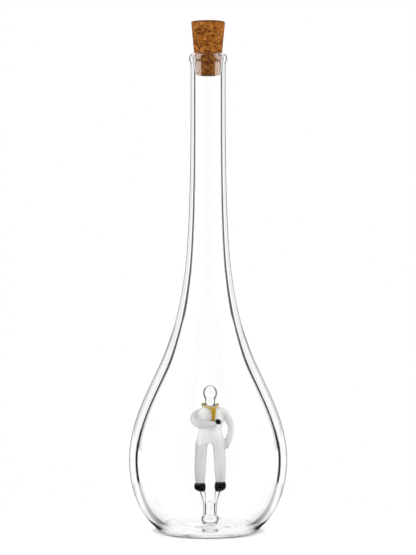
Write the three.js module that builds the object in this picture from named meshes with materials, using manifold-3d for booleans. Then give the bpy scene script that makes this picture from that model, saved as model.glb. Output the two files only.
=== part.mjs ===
// A tall teardrop bottle of clear glass with a cork stopper. A small lampworked glass
// figure stands on its floor. Millimetres, +Z up. The origin is on the table, on the
// bottle's axis. The figure looks along -Y, so its own left side is at +X.

import * as THREE from 'three';
import { mergeVertices } from 'three/addons/utils/BufferGeometryUtils.js';
import Module from 'manifold-3d';

// Cork: its taper sets the mouth of the neck
const CORK_TOP_RADIUS = 10.25;
const CORK_BOTTOM_RADIUS = 7.1;
const CORK_LENGTH = 32.2;
const CORK_INSERT = 13;            // how deep it sits below the top of the lip
const CORK_EDGE = 0.7;             // rounding of its two edges
const CORK_CLEARANCE = 0.15;       // between the cork and the mouth that it fills

// Neck and lip
const MOUTH_HEIGHT = 286;          // top of the lip
const NECK_BORE = 7.5;             // radius of the bore below the cork
const NECK_WALL = 2.9;
const NECK_STRAIGHT = 12;          // length of even neck under the lip
const LIP_HEIGHT = 6;
const LIP_WALL = 2.9;              // from the mouth to the outside of the lip bead
const LIP_EDGE = 0.9;              // rounding of the lip's inner edge

// Bulb: its outline passes the seam, the widest ring, the shoulder and the neck, and each
// pull is the distance for which the curve follows its tangent there
const BULB_RADIUS = 47.5;
const BULB_HEIGHT = 43;            // height of the widest ring
const BULB_WALL = 5.2;
const BULB_PULL_DOWN = 14.6;
const BULB_PULL_UP = 25.2;
const SHOULDER_RADIUS = 25.9;
const SHOULDER_RISE = 63.9;        // from the widest ring up to where the outline is hollow
const SHOULDER_LEAN = 21.2;        // degrees from upright at that point
const SHOULDER_WALL = 5.8;
const SHOULDER_PULL_DOWN = 15.6;
const SHOULDER_PULL_UP = 34.8;
const NECK_PULL = 105;
const NECK_EASE = 1.6;             // power by which the wall thins towards the neck

// Base disc, and the seam where the bulb is sealed to it
const SEAM_RADIUS = 33.2;
const SEAM_HEIGHT = 3.8;
const SEAM_WIDTH = 5.2;            // width of the ring where the two glasses meet
const SEAM_LEAN = 49;              // degrees from upright, of the wall at the seam
const SEAM_WALL = 4.8;
const SEAM_PULL = 13;
const FLOOR_HEIGHT = 3.2;          // top of the floor inside
const PUNT_DEPTH = 0.7;            // hollow under the base
const CONTACT_RADIUS = 28.4;       // outer edge of the ring that stands on the table
const CONTACT_WIDTH = 5.2;
const HEEL_REACH = 1.8;            // pull of the rounded heel along the table
const HEEL_DROP = 1.8;             // and along the wall, below the seam

// Figure: where it stands, and its pedestal from the floor up
const FIGURE_X = 1.2;              // it stands a little to one side of the axis
const FOOT_HEIGHT = 5.4;
const FOOT_RADIUS = 5.3;
const FOOT_BULGE_RISE = 3.5;       // height of its widest part
const FOOT_SOLE_RADIUS = 4.3;
const FOOT_WAIST_RISE = 1.5;       // height up to which it is as wide as its sole
const STEM_HEIGHT = 9.1;
const STEM_RADIUS = 4.5;
const STEM_WAIST = 0.35;           // how much the stem draws in at its middle
const ANKLE_HEIGHT = 6.3;
const ANKLE_LOW_X = 3.5;
const ANKLE_LOW_RADIUS = 0.8;
const ANKLE_TOP_X = 4.6;
const ANKLE_TOP_RADIUS = 1.8;

// Shoes. The form lists ovals from the sole up: shares of the shoe's height, half width,
// half length, toe reach, and of the step from the ankle out to the trouser hem.
const SHOE_HEIGHT_RIGHT = 5;
const SHOE_HEIGHT_LEFT = 5.7;
const SHOE_HALF_WIDTH = 3.5;
const SHOE_HALF_LENGTH = 4.6;
const TOE_REACH = 1.5;             // how far a shoe's middle lies in front of its leg
const SHOE_FORM = [
  { rise: 0, width: 0.52, length: 0.42, toe: 0.5, step: 0.3 },
  { rise: 0.24, width: 0.86, length: 0.85, toe: 1, step: 0.8 },
  { rise: 0.54, width: 1, length: 1, toe: 1, step: 1 },
  { rise: 0.82, width: 0.92, length: 0.8, toe: 0.5, step: 1 },
];

// Legs
const HEM_X = 6.15;
const HEM_RADIUS = 2.75;
const SHIN_HALF_WIDTH = 3.2;
const KNEE_X = 5.9;
const KNEE_HALF_WIDTH = 3.4;
const LEG_HALF_DEPTH = 3.4;
const HIP_RISE = 28.7;             // from the soles to where the legs meet the torso
const CROTCH_GAP = 2.4;            // between the legs where they meet the torso
const CROTCH_DROP = 4.6;           // depth of the arch between the legs
const CROTCH_HALF_WIDTH = 2.05;    // of that arch at its foot

// Torso: rises are measured from the hips
const HIP_HALF_WIDTH = 8.9;
const HIP_HALF_DEPTH = 4.3;
const WAIST_RISE = 7.4;
const WAIST_HALF_WIDTH = 6.7;
const WAIST_HALF_DEPTH = 4;
const CHEST_RISE = 14;
const CHEST_HALF_WIDTH = 7.9;
const CHEST_HALF_DEPTH = 4.6;
const YOKE_RISE = 18.6;
const YOKE_HALF_WIDTH = 7.1;
const YOKE_HALF_DEPTH = 3.8;
const TORSO_HEIGHT = 22.2;

// Head: a plain knob on a neck
const THROAT_RADIUS = 2.75;
const THROAT_LENGTH = 2.4;         // of its even part
const HEAD_HEIGHT = 12.1;
const HEAD_RADIUS = 4.2;
const CROWN_HEIGHT = 4.6;          // from the widest part of the head to its top
const NAPE_PULL = 2.8;             // of the curve from the neck out to the head

// Arms: points on the middle line, and the radius there. They are measured out from the
// figure's middle, in front of it, and up from the hips.
const RIGHT_ARM = [
  { out: 3.6, front: -0.3, up: 18.7, radius: 2.2 },
  { out: 7, front: -0.2, up: 17.2, radius: 2.8 },
  { out: 8.8, front: 0.9, up: 14.6, radius: 3 },
  { out: 7.4, front: 3.8, up: 12.2, radius: 2.5 },
  { out: 3.4, front: 6.1, up: 11.6, radius: 1.9 },
  { out: -2.6, front: 6.9, up: 12, radius: 1.5 },
];
const LEFT_ARM = [
  { out: 4.2, front: -0.2, up: 19.2, radius: 2.2 },
  { out: 8.2, front: -0.1, up: 17.8, radius: 2.6 },
  { out: 10.9, front: 0.1, up: 14.3, radius: 2.2 },
  { out: 12.6, front: 0.2, up: 9, radius: 1.75 },
  { out: 11.6, front: 0.6, up: 3.5, radius: 1.75 },
  { out: 10.1, front: 1, up: -1.6, radius: 1.5 },
];

// Amber cord and tie, and the black bead at the right hand. Drops are measured from the
// top of the torso, and rises of the tie from its lower end. The cord starts and ends in a
// drop beside the neck and passes behind the knot: its points are measured to the figure's
// left, in front of it, and up from the top of the torso.
const CORD = [
  { left: -4.1, front: 0.6, up: 0.5, radius: 1.15 },
  { left: -3.7, front: 2.1, up: 0.35, radius: 0.85 },
  { left: -1.8, front: 3.8, up: -0.4, radius: 0.6 },
  { left: 0.6, front: 4.3, up: -1.2, radius: 0.6 },
  { left: 2.4, front: 4.1, up: -1.1, radius: 0.6 },
  { left: 3.8, front: 2.8, up: -0.2, radius: 0.8 },
  { left: 4.2, front: 1.1, up: 0.35, radius: 1.1 },
];
const KNOT_X = 2;
const KNOT_DROP = 0.9;
const KNOT_FRONT = 5.8;
const KNOT_HALF_WIDTH = 1.65;
const KNOT_RISE = 7.2;
const TIE_LENGTH = 8.2;
const TIE_HALF_WIDTH = 0.8;        // at its lower end
const TIE_HALF_DEPTH = 0.8;
const TIE_SPREAD = 0.25;           // by which it is wider at its middle
const BEAD_RADIUS = 1.65;
const BEAD_X = 4.8;
const BEAD_DROP = 9;
const BEAD_FRONT = 6.7;

const FUSE_GAP = 0.3;              // left between solids that are fused in the real glass

// Facets
const BOTTLE_SIDES = 48;
const FIGURE_SIDES = 20;
const CURVE_STEPS = 7;
const EDGE_STEPS = 4;
const OVAL_STEPS = 2;              // rings for each given oval
const LIMB_SIDES = 14;
const LIMB_STEPS = 15;
const LIMB_TIP_STEPS = 3;
const BEAD_DETAIL = 2;

// Boolean cuts
const wasm = await Module();
wasm.setup();

function toSolid(geometry) {
  const bare = new THREE.BufferGeometry();
  bare.setAttribute('position', geometry.getAttribute('position'));
  bare.setIndex(geometry.getIndex());
  const merged = mergeVertices(bare);
  return new wasm.Manifold(new wasm.Mesh({
    numProp: 3,
    vertProperties: Float32Array.from(merged.getAttribute('position').array),
    triVerts: Uint32Array.from(merged.getIndex().array),
  }));
}

function toGeometry(solid) {
  const mesh = solid.getMesh();
  const geometry = new THREE.BufferGeometry();
  geometry.setAttribute('position', new THREE.BufferAttribute(mesh.vertProperties, 3));
  geometry.setIndex(new THREE.BufferAttribute(mesh.triVerts, 1));
  return geometry;
}

function cutBy(geometry, neighbours) {
  let solid = toSolid(geometry);
  for (const neighbour of neighbours) solid = solid.subtract(toSolid(neighbour));
  return toGeometry(solid);
}

// Shape makers
const point = (r, z) => new THREE.Vector2(r, z);

function lathe(profile, sides) {
  return new THREE.LatheGeometry(profile, sides).rotateX(Math.PI / 2);
}

// Closes a stack of equal rings, given from the first end to the last, into one body
function skin(rings) {
  const sides = rings[0].length;
  const positions = rings.flat().flatMap((p) => [p.x, p.y, p.z]);
  const index = [];
  for (let ring = 0; ring + 1 < rings.length; ring += 1) {
    for (let side = 0; side < sides; side += 1) {
      const a = ring * sides + side;
      const b = ring * sides + (side + 1) % sides;
      index.push(a, b, b + sides, a, b + sides, a + sides);
    }
  }
  const last = (rings.length - 1) * sides;
  for (let side = 1; side + 1 < sides; side += 1) {
    index.push(0, side + 1, side);
    index.push(last, last + side, last + side + 1);
  }
  const geometry = new THREE.BufferGeometry();
  geometry.setAttribute('position', new THREE.Float32BufferAttribute(positions, 3));
  geometry.setIndex(index);
  return geometry;
}

// Level ovals from the bottom up, smoothed between the given ones. A swollen copy, for
// cutting a neighbour, is larger by grow on every side.
function ovalStack(ovals, grow = 0) {
  const middles = ovals.map((o) => new THREE.Vector3(o.x ?? 0, o.y ?? 0, o.z));
  const sizes = ovals.map((o) => new THREE.Vector3(o.halfWidth, o.halfDepth, 0));
  middles[0].z -= grow;
  middles[middles.length - 1].z += grow;
  const middleLine = new THREE.CatmullRomCurve3(middles, false, 'catmullrom', 0.5);
  const sizeLine = new THREE.CatmullRomCurve3(sizes, false, 'catmullrom', 0.5);
  const count = OVAL_STEPS * (ovals.length - 1);
  const rings = [];
  for (let i = 0; i <= count; i += 1) {
    const middle = middleLine.getPoint(i / count);
    const size = sizeLine.getPoint(i / count);
    const ring = [];
    for (let side = 0; side < FIGURE_SIDES; side += 1) {
      const angle = 2 * Math.PI * side / FIGURE_SIDES;
      ring.push(new THREE.Vector3(
        middle.x + (size.x + grow) * Math.cos(angle),
        middle.y + (size.y + grow) * Math.sin(angle),
        middle.z,
      ));
    }
    rings.push(ring);
  }
  return skin(rings);
}

// A round limb along a curve, rounded at both ends
function limb(stations) {
  const path = new THREE.CatmullRomCurve3(stations.map((s) => s.at));
  const radii = new THREE.CatmullRomCurve3(
    stations.map((s) => new THREE.Vector3(s.radius, 0, 0)), false, 'catmullrom', 0.5);
  const frames = path.computeFrenetFrames(LIMB_STEPS, false);
  const ringAt = (middle, radius, frame) => {
    const ring = [];
    for (let side = 0; side < LIMB_SIDES; side += 1) {
      const angle = 2 * Math.PI * side / LIMB_SIDES;
      ring.push(middle.clone()
        .addScaledVector(frames.normals[frame], radius * Math.cos(angle))
        .addScaledVector(frames.binormals[frame], radius * Math.sin(angle)));
    }
    return ring;
  };
  const tip = (station, frame, direction) => {
    const rings = [];
    for (let i = 1; i <= LIMB_TIP_STEPS; i += 1) {
      const turn = 0.5 * Math.PI * i / (LIMB_TIP_STEPS + 1);
      const reach = direction * station.radius * Math.sin(turn);
      const middle = station.at.clone().addScaledVector(frames.tangents[frame], reach);
      rings.push(ringAt(middle, station.radius * Math.cos(turn), frame));
    }
    return rings;
  };
  const middleRings = [];
  for (let i = 0; i <= LIMB_STEPS; i += 1) {
    const t = path.getUtoTmapping(i / LIMB_STEPS);
    middleRings.push(ringAt(path.getPoint(t), radii.getPoint(t).x, i));
  }
  return skin([
    ...tip(stations[0], 0, -1).reverse(), ...middleRings,
    ...tip(stations[stations.length - 1], LIMB_STEPS, 1),
  ]);
}

// Bottle
const corkBottom = MOUTH_HEIGHT - CORK_INSERT;
const corkTop = corkBottom + CORK_LENGTH;
const corkTaper = (CORK_TOP_RADIUS - CORK_BOTTOM_RADIUS) / CORK_LENGTH;
const corkRadiusAt = (z) => CORK_BOTTOM_RADIUS + corkTaper * (z - corkBottom);
const neckRadius = NECK_BORE + NECK_WALL;
const mouthRadius = corkRadiusAt(MOUTH_HEIGHT) + CORK_CLEARANCE;
const lipBottom = MOUTH_HEIGHT - LIP_HEIGHT;
const seamInside = SEAM_RADIUS - SEAM_WIDTH;

function alongLean(from, degrees, distance) {
  const lean = THREE.MathUtils.degToRad(degrees);
  return point(from.x + distance * Math.sin(lean), from.y + distance * Math.cos(lean));
}

// Outline of the bulb from the seam up to the even part of the neck
function bulbCurves() {
  const seam = point(SEAM_RADIUS, SEAM_HEIGHT);
  const widest = point(BULB_RADIUS, BULB_HEIGHT);
  const shoulder = point(SHOULDER_RADIUS, BULB_HEIGHT + SHOULDER_RISE);
  const neck = point(neckRadius, lipBottom - NECK_STRAIGHT);
  return [
    new THREE.CubicBezierCurve(
      seam, alongLean(seam, SEAM_LEAN, SEAM_PULL),
      point(BULB_RADIUS, BULB_HEIGHT - BULB_PULL_DOWN), widest),
    new THREE.CubicBezierCurve(
      widest, point(BULB_RADIUS, BULB_HEIGHT + BULB_PULL_UP),
      alongLean(shoulder, -SHOULDER_LEAN, -SHOULDER_PULL_DOWN), shoulder),
    new THREE.CubicBezierCurve(
      shoulder, alongLean(shoulder, -SHOULDER_LEAN, SHOULDER_PULL_UP),
      point(neckRadius, neck.y - NECK_PULL), neck),
  ];
}

// Outer points of the bulb, and inner points square to them through the wall
function bulbWalls() {
  const walls = [SEAM_WALL, BULB_WALL, SHOULDER_WALL, NECK_WALL];
  const eases = [1, 1, NECK_EASE];
  const outer = [];
  const inner = [];
  bulbCurves().forEach((curve, i) => {
    for (let step = i === 0 ? 0 : 1; step <= CURVE_STEPS; step += 1) {
      const t = step / CURVE_STEPS;
      const share = 1 - (1 - t) ** eases[i];
      const wall = THREE.MathUtils.lerp(walls[i], walls[i + 1], share);
      const place = curve.getPoint(t);
      const along = curve.getTangent(t);
      outer.push(place);
      inner.push(point(place.x - wall * along.y, place.y + wall * along.x));
    }
  });
  return { outer, inner };
}

function lipPoints() {
  const half = LIP_HEIGHT / 2;
  const bead = point(mouthRadius + LIP_WALL, lipBottom + half);
  const lower = new THREE.CubicBezierCurve(
    point(neckRadius, lipBottom), point(neckRadius, lipBottom + half / 2),
    point(bead.x, bead.y - half / 2), bead);
  const upper = new THREE.CubicBezierCurve(
    bead, point(bead.x, bead.y + half / 2),
    point(bead.x - LIP_EDGE, MOUTH_HEIGHT), point(mouthRadius + LIP_EDGE, MOUTH_HEIGHT));
  const edge = new THREE.QuadraticBezierCurve(
    point(mouthRadius + LIP_EDGE, MOUTH_HEIGHT), point(mouthRadius, MOUTH_HEIGHT),
    point(mouthRadius, MOUTH_HEIGHT - LIP_EDGE));
  return [
    ...lower.getPoints(EDGE_STEPS),
    ...upper.getPoints(EDGE_STEPS).slice(1),
    ...edge.getPoints(EDGE_STEPS).slice(1),
  ];
}

function bottleBody() {
  const { outer, inner } = bulbWalls();
  const seatRadius = CORK_BOTTOM_RADIUS + CORK_CLEARANCE;
  const taperStart = corkBottom + (NECK_BORE - seatRadius) / corkTaper;
  return lathe([
    ...outer, ...lipPoints(), point(NECK_BORE, taperStart),
    ...inner.reverse(), point(seamInside, SEAM_HEIGHT), outer[0],
  ], BOTTLE_SIDES);
}

function bottleBase() {
  const floorRadius = seamInside - (SEAM_HEIGHT - FLOOR_HEIGHT);
  const contactInside = CONTACT_RADIUS - CONTACT_WIDTH;
  const punt = new THREE.QuadraticBezierCurve(
    point(0, PUNT_DEPTH), point(contactInside / 2, PUNT_DEPTH), point(contactInside, 0));
  const seam = point(SEAM_RADIUS, SEAM_HEIGHT);
  const heel = new THREE.CubicBezierCurve(
    point(CONTACT_RADIUS, 0), point(CONTACT_RADIUS + HEEL_REACH, 0),
    alongLean(seam, SEAM_LEAN, -HEEL_DROP), seam);
  return lathe([
    ...punt.getPoints(EDGE_STEPS), ...heel.getPoints(EDGE_STEPS),
    point(seamInside, SEAM_HEIGHT), point(floorRadius, FLOOR_HEIGHT), point(0, FLOOR_HEIGHT),
  ], BOTTLE_SIDES);
}

function corkStopper() {
  const low = new THREE.QuadraticBezierCurve(
    point(CORK_BOTTOM_RADIUS - CORK_EDGE, corkBottom), point(CORK_BOTTOM_RADIUS, corkBottom),
    point(corkRadiusAt(corkBottom + CORK_EDGE), corkBottom + CORK_EDGE));
  const high = new THREE.QuadraticBezierCurve(
    point(corkRadiusAt(corkTop - CORK_EDGE), corkTop - CORK_EDGE), point(CORK_TOP_RADIUS, corkTop),
    point(CORK_TOP_RADIUS - CORK_EDGE, corkTop));
  return lathe([
    point(0, corkBottom), ...low.getPoints(EDGE_STEPS), ...high.getPoints(EDGE_STEPS),
    point(0, corkTop),
  ], BOTTLE_SIDES);
}

// Figure: heights above the bottle's floor. A side is -1 for the figure's right and 1 for
// its left.
const stemTop = FOOT_HEIGHT + STEM_HEIGHT;
const soles = stemTop + ANKLE_HEIGHT;
const hips = soles + HIP_RISE;
const throat = hips + TORSO_HEIGHT;
const hemAt = (side) => soles + (side < 0 ? SHOE_HEIGHT_RIGHT : SHOE_HEIGHT_LEFT);

function pedestalFoot() {
  const flank = new THREE.SplineCurve([
    point(FOOT_SOLE_RADIUS, 0), point(FOOT_SOLE_RADIUS, FOOT_WAIST_RISE),
    point(FOOT_RADIUS, FOOT_BULGE_RISE), point(STEM_RADIUS, FOOT_HEIGHT),
  ]);
  return lathe(
    [point(0, 0), ...flank.getPoints(CURVE_STEPS), point(0, FOOT_HEIGHT)], FIGURE_SIDES);
}

function pedestalStem() {
  const flank = new THREE.QuadraticBezierCurve(
    point(STEM_RADIUS, FOOT_HEIGHT), point(STEM_RADIUS - 2 * STEM_WAIST, (FOOT_HEIGHT + stemTop) / 2),
    point(STEM_RADIUS, stemTop));
  return lathe(
    [point(0, FOOT_HEIGHT), ...flank.getPoints(EDGE_STEPS), point(0, stemTop)], FIGURE_SIDES);
}

function ankle(side) {
  return ovalStack([
    { x: side * ANKLE_LOW_X, z: stemTop, halfWidth: ANKLE_LOW_RADIUS, halfDepth: ANKLE_LOW_RADIUS },
    { x: side * ANKLE_TOP_X, z: soles, halfWidth: ANKLE_TOP_RADIUS, halfDepth: ANKLE_TOP_RADIUS },
  ]);
}

function shoe(side) {
  const hem = hemAt(side);
  const ovals = SHOE_FORM.map((form) => ({
    x: side * THREE.MathUtils.lerp(ANKLE_TOP_X, HEM_X, form.step),
    y: -TOE_REACH * form.toe,
    z: THREE.MathUtils.lerp(soles, hem, form.rise),
    halfWidth: SHOE_HALF_WIDTH * form.width,
    halfDepth: SHOE_HALF_LENGTH * form.length,
  }));
  ovals.push({ x: side * HEM_X, z: hem, halfWidth: HEM_RADIUS, halfDepth: HEM_RADIUS });
  return ovalStack(ovals);
}

function leg(side, grow = 0) {
  const hem = hemAt(side);
  const knee = (hem + hips) / 2;
  const archHalfWidth = (HIP_HALF_WIDTH - CROTCH_HALF_WIDTH) / 2;
  const topHalfWidth = (HIP_HALF_WIDTH - CROTCH_GAP / 2) / 2;
  return ovalStack([
    { x: side * HEM_X, z: hem, halfWidth: HEM_RADIUS, halfDepth: HEM_RADIUS },
    { x: side * (HEM_X + KNEE_X) / 2, z: (hem + knee) / 2,
      halfWidth: SHIN_HALF_WIDTH, halfDepth: LEG_HALF_DEPTH },
    { x: side * KNEE_X, z: knee, halfWidth: KNEE_HALF_WIDTH, halfDepth: LEG_HALF_DEPTH },
    { x: side * (CROTCH_HALF_WIDTH + archHalfWidth), z: hips - CROTCH_DROP,
      halfWidth: archHalfWidth, halfDepth: (LEG_HALF_DEPTH + HIP_HALF_DEPTH) / 2 },
    { x: side * (CROTCH_GAP / 2 + topHalfWidth), z: hips,
      halfWidth: topHalfWidth, halfDepth: HIP_HALF_DEPTH },
  ], grow);
}

function torso(grow = 0) {
  return ovalStack([
    { z: hips, halfWidth: HIP_HALF_WIDTH, halfDepth: HIP_HALF_DEPTH },
    { z: hips + WAIST_RISE, halfWidth: WAIST_HALF_WIDTH, halfDepth: WAIST_HALF_DEPTH },
    { z: hips + CHEST_RISE, halfWidth: CHEST_HALF_WIDTH, halfDepth: CHEST_HALF_DEPTH },
    { z: hips + YOKE_RISE, halfWidth: YOKE_HALF_WIDTH, halfDepth: YOKE_HALF_DEPTH },
    { z: throat, halfWidth: THROAT_RADIUS, halfDepth: THROAT_RADIUS },
  ], grow);
}

function arm(side, stations) {
  return limb(stations.map((s) => ({
    at: new THREE.Vector3(side * s.out, -s.front, hips + s.up), radius: s.radius,
  })));
}

function head() {
  const crownLow = throat + HEAD_HEIGHT - CROWN_HEIGHT;
  const napeLow = throat + THROAT_LENGTH;
  const nape = new THREE.CubicBezierCurve(
    point(THROAT_RADIUS, napeLow), point(THROAT_RADIUS, napeLow + NAPE_PULL),
    point(HEAD_RADIUS, crownLow - NAPE_PULL), point(HEAD_RADIUS, crownLow));
  const crown = new THREE.EllipseCurve(0, crownLow, HEAD_RADIUS, CROWN_HEIGHT, 0, Math.PI / 2);
  return lathe([
    point(0, throat), point(THROAT_RADIUS, throat), ...nape.getPoints(CURVE_STEPS),
    ...crown.getPoints(CURVE_STEPS).slice(1, -1), point(0, throat + HEAD_HEIGHT),
  ], FIGURE_SIDES);
}

function collarCord() {
  return limb(CORD.map((s) => ({
    at: new THREE.Vector3(s.left, -s.front, throat + s.up), radius: s.radius,
  })));
}

// Hangs from the cord, in front of the chest
function necktie(grow = 0) {
  const top = throat - KNOT_DROP;
  const low = top - TIE_LENGTH;
  const half = { x: KNOT_X, y: -KNOT_FRONT, halfWidth: TIE_HALF_WIDTH, halfDepth: TIE_HALF_DEPTH };
  return ovalStack([
    { ...half, z: low },
    { ...half, z: low + TIE_LENGTH / 2, halfWidth: TIE_HALF_WIDTH + TIE_SPREAD },
    { ...half, z: low + KNOT_RISE, halfWidth: KNOT_HALF_WIDTH },
    { ...half, z: top, halfWidth: KNOT_HALF_WIDTH - TIE_SPREAD },
  ], grow);
}

function handBead(grow = 0) {
  return new THREE.IcosahedronGeometry(BEAD_RADIUS + grow, BEAD_DETAIL)
    .translate(BEAD_X, -BEAD_FRONT, throat - BEAD_DROP);
}

// Finishes
const finish = (color, roughness, rest = {}) => (
  new THREE.MeshStandardMaterial({ color, roughness, metalness: 0, ...rest }));
const clearGlass = () => finish(0xe4ecee, 0.03, { transparent: true, opacity: 0.35 });
const whiteGlass = () => finish(0xdcdcda, 0.25);
const amberGlass = () => finish(0xc8921a, 0.1);
const blackGlass = () => finish(0x08080a, 0.1);
const cork = () => finish(0xa9712f, 0.9);

// Assembly
function piece(name, geometry, material) {
  const mesh = new THREE.Mesh(geometry, material);
  mesh.name = name;
  return mesh;
}

const figure = new THREE.Group();
figure.position.set(FIGURE_X, 0, FLOOR_HEIGHT);
figure.add(
  piece('pedestal_foot', pedestalFoot(), clearGlass()),
  piece('pedestal_stem', pedestalStem(), clearGlass()),
);
for (const [name, side] of [['right', -1], ['left', 1]]) {
  figure.add(
    piece(`ankle_${name}`, ankle(side), clearGlass()),
    piece(`shoe_${name}`, shoe(side), blackGlass()),
    piece(`leg_${name}`, leg(side), whiteGlass()),
  );
}
const torsoRoom = torso(FUSE_GAP);
const tieRoom = necktie(FUSE_GAP);
const beadRoom = handBead(FUSE_GAP);
figure.add(
  piece('torso', torso(), whiteGlass()),
  piece('arm_right', cutBy(arm(-1, RIGHT_ARM), [torsoRoom, tieRoom, beadRoom]), whiteGlass()),
  piece('arm_left', cutBy(arm(1, LEFT_ARM), [torsoRoom, leg(1, FUSE_GAP)]), whiteGlass()),
  piece('head', head(), clearGlass()),
  piece('collar_cord', cutBy(collarCord(), [torsoRoom, tieRoom]), amberGlass()),
  piece('necktie', cutBy(necktie(), [torsoRoom, beadRoom]), amberGlass()),
  piece('hand_bead', handBead(), blackGlass()),
);

const bottle = new THREE.Group();
bottle.add(
  piece('bottle_body', bottleBody(), clearGlass()),
  piece('bottle_base', bottleBase(), clearGlass()),
  piece('cork_stopper', corkStopper(), cork()),
  figure,
);

export default bottle;
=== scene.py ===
# Looks of a teardrop bottle of clear glass with a cork stopper and a small lampworked
# glass figure on its floor. Metres, +Z up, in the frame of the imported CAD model.
# The figure looks along -Y, towards the camera.
from math import cos, pi, radians, sin

import bmesh
import bpy
from mathutils import Matrix, Vector


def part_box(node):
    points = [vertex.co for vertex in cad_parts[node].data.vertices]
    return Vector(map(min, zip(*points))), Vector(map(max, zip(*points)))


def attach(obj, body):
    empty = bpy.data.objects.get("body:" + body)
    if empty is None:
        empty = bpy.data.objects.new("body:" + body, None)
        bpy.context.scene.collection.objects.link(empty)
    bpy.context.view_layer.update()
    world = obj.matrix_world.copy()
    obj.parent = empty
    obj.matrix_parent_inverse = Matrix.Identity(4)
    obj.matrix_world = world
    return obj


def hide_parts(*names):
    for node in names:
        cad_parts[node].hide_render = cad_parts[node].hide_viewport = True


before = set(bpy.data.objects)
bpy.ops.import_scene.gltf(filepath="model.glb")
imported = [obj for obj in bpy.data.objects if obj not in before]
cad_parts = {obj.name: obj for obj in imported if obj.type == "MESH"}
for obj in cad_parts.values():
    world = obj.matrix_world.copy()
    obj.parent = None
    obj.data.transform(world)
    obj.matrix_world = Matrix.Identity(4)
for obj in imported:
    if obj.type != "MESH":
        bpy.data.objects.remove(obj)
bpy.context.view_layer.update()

MM = 0.001
SAME_PLACE = 0.001 * MM            # places nearer to each other than this are one
SCREEN_WHITE = 255                 # the largest value of a colour on a screen
SCREEN_GAMMA = 2.2


def grey(level):
    return (level, level, level, 1)


def screen(red, green, blue):
    """A colour given by its values on a screen."""
    return tuple((value / SCREEN_WHITE) ** SCREEN_GAMMA for value in (red, green, blue)) + (1,)


# Bottle, from the sizes of the CAD model
BULB_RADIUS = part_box("bottle_body")[1].x
MOUTH_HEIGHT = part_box("bottle_body")[1].z
SEAM_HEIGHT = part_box("bottle_body")[0].z
CORK_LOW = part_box("cork_stopper")[0].z
CORK_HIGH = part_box("cork_stopper")[1].z
CORK_TOP_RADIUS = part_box("cork_stopper")[1].x
CORK_BOTTOM_RADIUS = 7.1 * MM
CORK_EDGE = 0.7 * MM
CORK_LOW_EDGE = 0.3 * MM
CORK_CLEARANCE = 0.15 * MM
NECK_BORE = 7.5 * MM
NECK_WALL = 2.9 * MM
NECK_STRAIGHT = 12 * MM
NECK_PULL = 105 * MM
NECK_EASE = 1.6
NECK_DELAY = 0.08                  # share of the way over which its wall begins to thin
LIP_HEIGHT = 6 * MM
LIP_WALL = 2.9 * MM
LIP_EDGE = 0.9 * MM
BULB_HEIGHT = 43 * MM
BULB_WALL = 5.2 * MM
BULB_PULL_DOWN = 14.6 * MM
BULB_PULL_UP = 25.2 * MM
SHOULDER_RADIUS = 25.9 * MM
SHOULDER_RISE = 63.9 * MM
SHOULDER_LEAN = 21.2
SHOULDER_WALL = 5.8 * MM
SHOULDER_PULL_DOWN = 15.6 * MM
SHOULDER_PULL_UP = 34.8 * MM
SHOULDER_EVENED = 18               # points on either side of it that are evened out
SEAM_RADIUS = 33.2 * MM
SEAM_LEAN = 49
SEAM_WALL = 4.8 * MM
SEAM_PULL = 13 * MM
FLOOR_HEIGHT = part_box("pedestal_foot")[0].z
PUNT_DEPTH = 0.7 * MM
CONTACT_RADIUS = 28.4 * MM
CONTACT_WIDTH = 5.2 * MM
HEEL_REACH = 1.8 * MM
HEEL_DROP = 1.8 * MM
FLOOR_CORNER = 27.2 * MM           # where the line of the wall meets the floor inside
FLOOR_FLAT = 24 * MM               # radius of the even part of that floor

# Clear parts of the figure
FIGURE_X = 1.2 * MM
STEM_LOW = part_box("pedestal_stem")[0].z
STEM_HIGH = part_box("pedestal_stem")[1].z
STEM_RADIUS = 4.5 * MM
STEM_WAIST = 0.35 * MM
FOOT_RADIUS = 5.3 * MM
FOOT_BULGE_RISE = 3.5 * MM
FOOT_SOLE_RADIUS = 4.3 * MM
FOOT_WAIST_RISE = 1.5 * MM
FOOT_FILLET = 0.7 * MM
FOOT_SUNK = FOOT_FILLET / 4        # how far it reaches into the floor
SOLE_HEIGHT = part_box("ankle_left")[1].z
ANKLE_LOW_X = 3.5 * MM
ANKLE_LOW_RADIUS = 0.8 * MM
ANKLE_TOP_X = 4.6 * MM
ANKLE_TOP_RADIUS = 1.8 * MM
ANKLE_SUNK = 3.5 * MM              # how far an ankle runs on inside the stem
THROAT_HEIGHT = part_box("head")[0].z
HEAD_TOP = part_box("head")[1].z
THROAT_RADIUS = 3.05 * MM
THROAT_LENGTH = 2.4 * MM
HEAD_RADIUS = 4.2 * MM
CROWN_HEIGHT = 4.6 * MM
NAPE_PULL = 2.8 * MM
BEAD_WIDE = 1.12                   # shares of the ball that the bead was
BEAD_FLAT = 0.92
BEAD_SLANT = 35                    # degrees by which its outer end hangs
HIP_REACH = 5 * MM                 # of the level at the hip that is evened out
HIP_ROUNDS = 80

# Melting: how far a piece swells, how much of that it keeps, the size of its voxels and the
# rounds of smoothing
PEDESTAL_MELT = (0.0, 0.0, 0.16 * MM, 12)
SUIT_MELT = (0.7 * MM, 0.17 * MM, 0.25 * MM, 8)
SHOE_MELT = (0.1 * MM, 0.1 * MM, 0.2 * MM, 4)
COLLAR_MELT = (0.15 * MM, 0.15 * MM, 0.15 * MM, 3)
BEAD_MELT = (0.02 * MM, 0.02 * MM, 0.12 * MM, 2)
RELAX_FACTOR = 0.5

# Glass and cork
GLASS_IOR = 1.47
GLASS_TINT = 0.995
PAINTED_EDGE_DARK = 0.0                 # painted shade: colour of the glass that is looked at along its skin
NECK_FROM = 110 * MM               # heights between which the painted dark outline gets its neck's strength
NECK_TO = 200 * MM
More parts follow.
